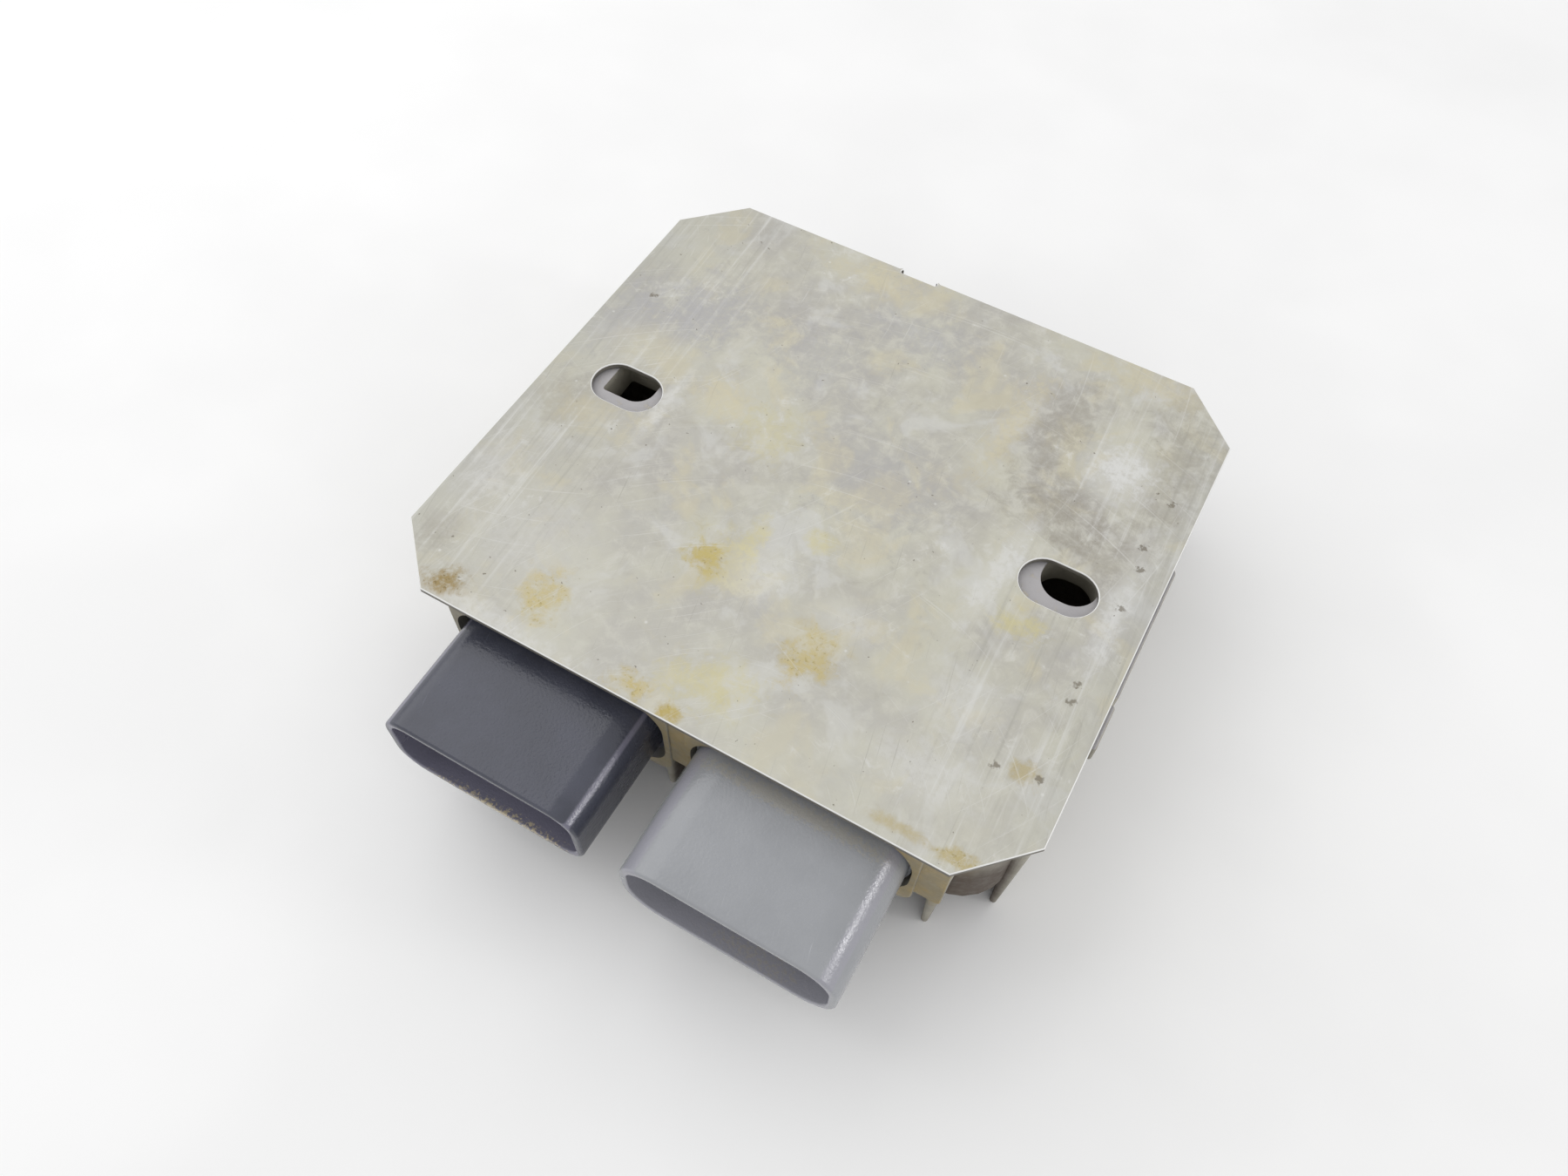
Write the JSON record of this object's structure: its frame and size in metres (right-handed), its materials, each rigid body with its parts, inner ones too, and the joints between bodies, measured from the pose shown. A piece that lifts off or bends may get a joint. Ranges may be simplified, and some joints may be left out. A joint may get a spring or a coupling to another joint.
{
  "type": "rectifier regulator module",
  "caption": "Finned die-cast rectifier regulator module with a flat slotted mounting sheet and two oval plug shrouds at the front.",
  "frame": {"origin": "centre of the flat mounting face", "axes": "+Z out of the mounting face, so the fins point down -Z. +Y runs along the fins, away from the plug side. The plugs go in along +Y from the -Y side."},
  "size_m": [0.1062, 0.1157, 0.033],
  "materials": {
    "cast_aluminium": "bare die casting, dirty",
    "sheet_aluminium": "worn satin sheet",
    "dark_plastic": "satin",
    "grey_plastic": "satin",
    "rubber_seal": "matt",
    "tinned_metal": "tin plated",
    "ceramic": "fired ceramic",
    "black_moulding": "matt",
    "potting_resin": "cast resin",
    "circuit_board": "solder mask",
    "capacitor_sleeve": "satin sleeve"
  },
  "bodies": {
    "root": {"heatsink_housing": "cast_aluminium", "mounting_plate": "sheet_aluminium", "plate_gasket": "rubber_seal", "input_connector_shell": "dark_plastic", "output_connector_shell": "grey_plastic", "input_seal_ring": "rubber_seal", "output_seal_ring": "rubber_seal", "input_terminal_1": "tinned_metal", "input_terminal_2": "tinned_metal", "input_terminal_3": "tinned_metal", "output_terminal_1": "tinned_metal", "output_terminal_2": "tinned_metal", "power_substrate": "ceramic", "power_switch_1": "black_moulding", "power_switch_2": "black_moulding", "power_switch_3": "black_moulding", "power_switch_4": "black_moulding", "power_switch_5": "black_moulding", "power_switch_6": "black_moulding", "potting_compound": "potting_resin", "control_board": "circuit_board", "control_chip": "black_moulding", "sense_resistor": "ceramic", "filter_capacitor_1": "capacitor_sleeve", "filter_capacitor_2": "capacitor_sleeve", "filter_capacitor_3": "capacitor_sleeve"}
  },
  "joints": []
}
